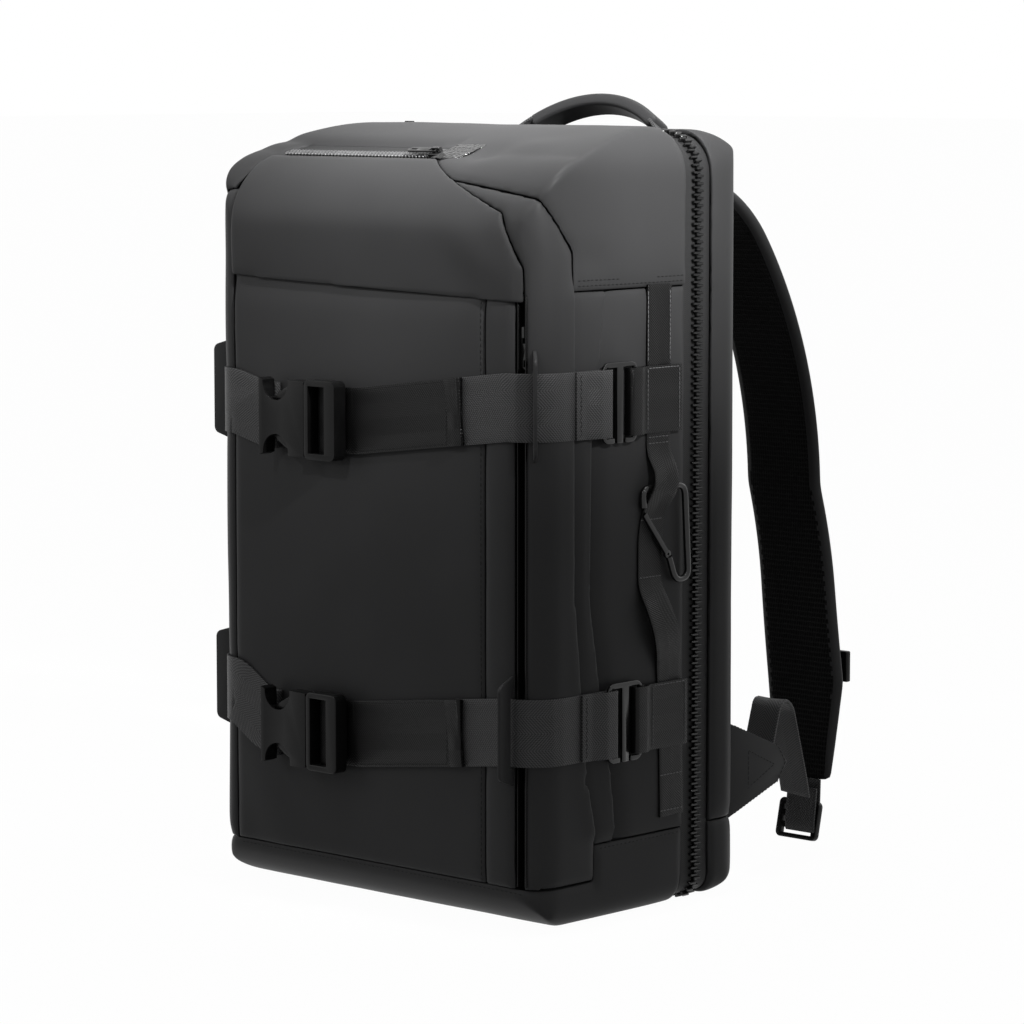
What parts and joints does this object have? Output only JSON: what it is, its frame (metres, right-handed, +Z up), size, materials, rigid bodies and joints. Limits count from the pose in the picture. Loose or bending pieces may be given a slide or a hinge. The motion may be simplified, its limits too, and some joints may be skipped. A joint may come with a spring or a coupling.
{
  "type": "travel backpack",
  "caption": "Soft clamshell travel backpack with zipped pockets, buckled compression straps, side webbing with a carabiner, carry handle and padded shoulder straps.",
  "frame": {"origin": "middle of the base, on the surface that the bag stands on", "axes": "+Z up, front of the bag faces -Y, +X to the right of a viewer facing the front"},
  "size_m": [0.3308, 0.3812, 0.538],
  "materials": {
    "coated_fabric": "matt rubberised coating, smooth",
    "spacer_mesh": "open knitted air mesh over foam",
    "zip_tape": "fine herringbone tape",
    "zip_teeth": "moulded, satin",
    "black_metal": "gloss black coating",
    "moulded_nylon": "satin moulding",
    "webbing": "tight twill weave with a slight sheen",
    "stiff_sheet": "plain sheet",
    "lining": "plain woven"
  },
  "bodies": {
    "back_half": {"back_gusset": "coated_fabric", "back_panel": "coated_fabric", "base_panel_back": "coated_fabric", "main_zip_tape_back": "zip_tape", "main_zip_teeth_back": "zip_teeth", "back_pad": "spacer_mesh", "frame_sheet": "stiff_sheet", "laptop_sleeve": "lining", "strap_anchors": "coated_fabric"},
    "front_half": {"base_panel_front": "coated_fabric", "buckle_female_lower": "moulded_nylon", "buckle_female_upper": "moulded_nylon", "buckle_male_lower": "moulded_nylon", "buckle_male_upper": "moulded_nylon", "corner_gusset_left": "coated_fabric", "corner_gusset_right": "coated_fabric", "daisy_chain": "webbing", "front_panel": "coated_fabric", "front_zip_chain": "zip_tape", "hood": "coated_fabric", "hook_loop_lower": "webbing", "hook_loop_upper": "webbing", "main_zip_tape_front": "zip_tape", "main_zip_teeth_front": "zip_teeth", "pleat_left": "coated_fabric", "pleat_right": "coated_fabric", "side_panel_left": "coated_fabric", "side_panel_right": "coated_fabric", "strap_guides": "coated_fabric", "strap_left_lower": "webbing", "strap_left_upper": "webbing", "strap_right_lower": "webbing", "strap_right_upper": "webbing", "top_zip_tape": "zip_tape", "top_zip_teeth": "zip_teeth", "yoke_left": "coated_fabric", "yoke_right": "coated_fabric", "zip_placket": "coated_fabric"},
    "main_zip_slider": {"main_zip_slider": "black_metal"},
    "main_zip_pull": {"main_zip_pull": "black_metal"},
    "top_zip_slider": {"top_zip_slider": "black_metal"},
    "top_zip_pull": {"top_zip_pull": "black_metal"},
    "front_zip_slider": {"front_zip_slider": "black_metal"},
    "front_zip_pull": {"front_zip_pull": "black_metal"},
    "strap_hook_upper": {"strap_hook_upper": "black_metal"},
    "strap_hook_lower": {"strap_hook_lower": "black_metal"},
    "carabiner": {"carabiner_body": "black_metal"},
    "carabiner_gate": {"carabiner_gate": "black_metal"},
    "carry_handle": {"handle_grip": "coated_fabric", "handle_webbing": "webbing"},
    "shoulder_strap_left": {"shoulder_pad_left": "spacer_mesh", "ladder_lock_left": "moulded_nylon"},
    "shoulder_strap_right": {"shoulder_pad_right": "spacer_mesh", "ladder_lock_right": "moulded_nylon"},
    "sternum_slider_left": {"sternum_slider_left": "moulded_nylon"},
    "sternum_slider_right": {"sternum_slider_right": "moulded_nylon"},
    "buckle_arm_top_upper": {"buckle_arm_top_upper": "moulded_nylon"},
    "buckle_arm_bottom_upper": {"buckle_arm_bottom_upper": "moulded_nylon"},
    "buckle_arm_top_lower": {"buckle_arm_top_lower": "moulded_nylon"},
    "buckle_arm_bottom_lower": {"buckle_arm_bottom_lower": "moulded_nylon"}
  },
  "joints": [
    {"name": "clamshell_hinge", "type": "hinge", "parent": "back_half", "child": "front_half", "pos_m": [-0.15, 0.055, 0], "axis": [0, 0, -1], "range_deg": [0, 120]},
    {"name": "main_zip_slide", "type": "slide", "parent": "back_half", "child": "main_zip_slider", "axis": [1, 0, 0], "range_m": [0, 0.225]},
    {"name": "main_zip_pull_hinge", "type": "hinge", "parent": "main_zip_slider", "child": "main_zip_pull", "pos_m": [-0.118, 0.055, 0.5201], "axis": [0, -1, 0], "range_deg": [0, 170]},
    {"name": "top_zip_slide", "type": "slide", "parent": "front_half", "child": "top_zip_slider", "axis": [-1, 0, 0], "range_m": [0, 0.128]},
    {"name": "top_zip_pull_hinge", "type": "hinge", "parent": "top_zip_slider", "child": "top_zip_pull", "pos_m": [0.015, -0.05473, 0.50219], "axis": [0, 0.9379, 0.3469], "range_deg": [0, 160]},
    {"name": "front_zip_slide", "type": "slide", "parent": "front_half", "child": "front_zip_slider", "axis": [0, 0, -1], "range_m": [0, 0.3]},
    {"name": "front_zip_pull_hinge", "type": "hinge", "parent": "front_zip_slider", "child": "front_zip_pull", "pos_m": [0.135, -0.0985, 0.389], "axis": [-1, 0, 0], "range_deg": [0, 150]},
    {"name": "buckle_latch_top_upper", "type": "hinge", "parent": "front_half", "child": "buckle_arm_top_upper", "pos_m": [-0.044, -0.1167, 0.3415], "axis": [0, -1, 0], "range_deg": [0, 7], "stiffness_Nm_per_rad": 0.4},
    {"name": "buckle_latch_bottom_upper", "type": "hinge", "parent": "front_half", "child": "buckle_arm_bottom_upper", "pos_m": [-0.044, -0.1167, 0.3065], "axis": [0, 1, 0], "range_deg": [0, 7], "stiffness_Nm_per_rad": 0.4},
    {"name": "hook_swing_upper", "type": "hinge", "parent": "front_half", "child": "strap_hook_upper", "pos_m": [0.154, -0.044, 0.341], "axis": [0, 0, 1], "range_deg": [-1.5, 1.5]},
    {"name": "buckle_latch_top_lower", "type": "hinge", "parent": "front_half", "child": "buckle_arm_top_lower", "pos_m": [-0.044, -0.1167, 0.132], "axis": [0, -1, 0], "range_deg": [0, 7], "stiffness_Nm_per_rad": 0.4},
    {"name": "buckle_latch_bottom_lower", "type": "hinge", "parent": "front_half", "child": "buckle_arm_bottom_lower", "pos_m": [-0.044, -0.1167, 0.097], "axis": [0, 1, 0], "range_deg": [0, 7], "stiffness_Nm_per_rad": 0.4},
    {"name": "hook_swing_lower", "type": "hinge", "parent": "front_half", "child": "strap_hook_lower", "pos_m": [0.154, -0.038, 0.131], "axis": [0, 0, 1], "range_deg": [-1.5, 1.5]},
    {"name": "carabiner_swing", "type": "hinge", "parent": "front_half", "child": "carabiner", "pos_m": [0.1543, 0, 0.283], "axis": [0, -1, 0], "range_deg": [0, 100]},
    {"name": "carabiner_gate_hinge", "type": "hinge", "parent": "carabiner", "child": "carabiner_gate", "pos_m": [0.1543, 0.0185, 0.238], "axis": [-1, 0, 0], "range_deg": [0, 24], "stiffness_Nm_per_rad": 0.02},
    {"name": "handle_swing", "type": "hinge", "parent": "back_half", "child": "carry_handle", "pos_m": [0.008, 0.1038, 0.5008], "axis": [1, 0, 0], "range_deg": [-35, 30], "stiffness_Nm_per_rad": 0.1},
    {"name": "shoulder_strap_swing_left", "type": "hinge", "parent": "back_half", "child": "shoulder_strap_left", "pos_m": [0, 0.1056, 0.4878], "axis": [1, 0, 0], "range_deg": [0, 40]},
    {"name": "sternum_slide_left", "type": "slide", "parent": "shoulder_strap_left", "child": "sternum_slider_left", "axis": [0, 0, 1], "range_m": [-0.012, 0.012]},
    {"name": "shoulder_strap_swing_right", "type": "hinge", "parent": "back_half", "child": "shoulder_strap_right", "pos_m": [0, 0.1056, 0.4878], "axis": [1, 0, 0], "range_deg": [0, 40]},
    {"name": "sternum_slide_right", "type": "slide", "parent": "shoulder_strap_right", "child": "sternum_slider_right", "axis": [0, 0, 1], "range_m": [-0.012, 0.012]}
  ],
  "couplings": [
    {"joint": "buckle_latch_bottom_upper", "follows": "buckle_latch_top_upper", "ratio": 1},
    {"joint": "buckle_latch_bottom_lower", "follows": "buckle_latch_top_lower", "ratio": 1}
  ]
}
